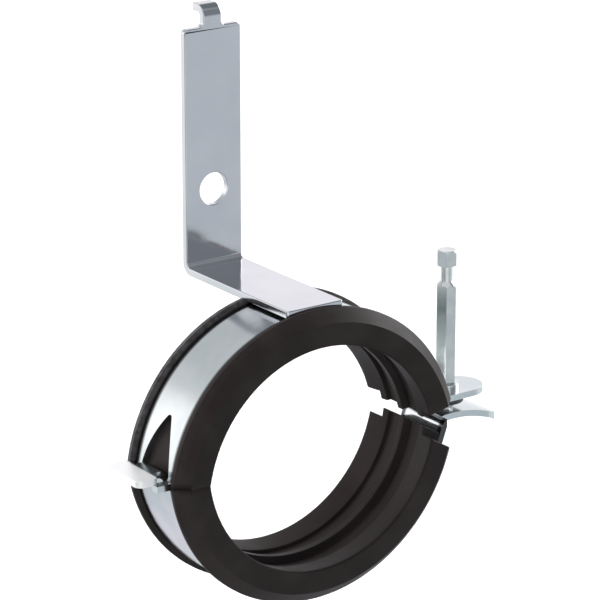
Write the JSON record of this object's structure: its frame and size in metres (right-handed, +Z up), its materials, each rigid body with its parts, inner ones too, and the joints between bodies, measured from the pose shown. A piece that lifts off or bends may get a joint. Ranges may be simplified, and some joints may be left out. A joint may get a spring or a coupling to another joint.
{
  "type": "rubber lined pipe clamp",
  "caption": "Hinged steel pipe clamp with a rubber liner, a captive closure screw and an L-shaped hook-on mounting bracket on top.",
  "frame": {"origin": "on the axis of the upper half's pipe seat, in the middle of the clamp's width", "axes": "+X towards the closure screw, +Y along the pipe towards the wall leg, +Z up towards the mounting bracket"},
  "size_m": [0.1494, 0.0703, 0.1895],
  "materials": {
    "zinc_sheet": "satin zinc plated sheet",
    "rubber": "matte black rubber",
    "zinc_screw": "zinc plated turned and drawn steel",
    "collar": "dark retaining collar"
  },
  "bodies": {
    "upper": {"upper_band": "zinc_sheet", "upper_liner": "rubber", "mounting_bracket": "zinc_sheet"},
    "lower": {"lower_band": "zinc_sheet", "lower_liner": "rubber"},
    "screw": {"closure_screw": "zinc_screw", "screw_collar": "collar"}
  },
  "joints": [
    {"name": "lower_half_swing", "type": "hinge", "parent": "upper", "child": "lower", "pos_m": [-0.0586, 0, 0.00865], "axis": [0, 1, 0], "range_deg": [0, 60]},
    {"name": "closure_screw_turn", "type": "hinge", "parent": "upper", "child": "screw", "pos_m": [0.0629, 0, 0.03], "axis": [0, 0, 1], "continuous": true}
  ]
}
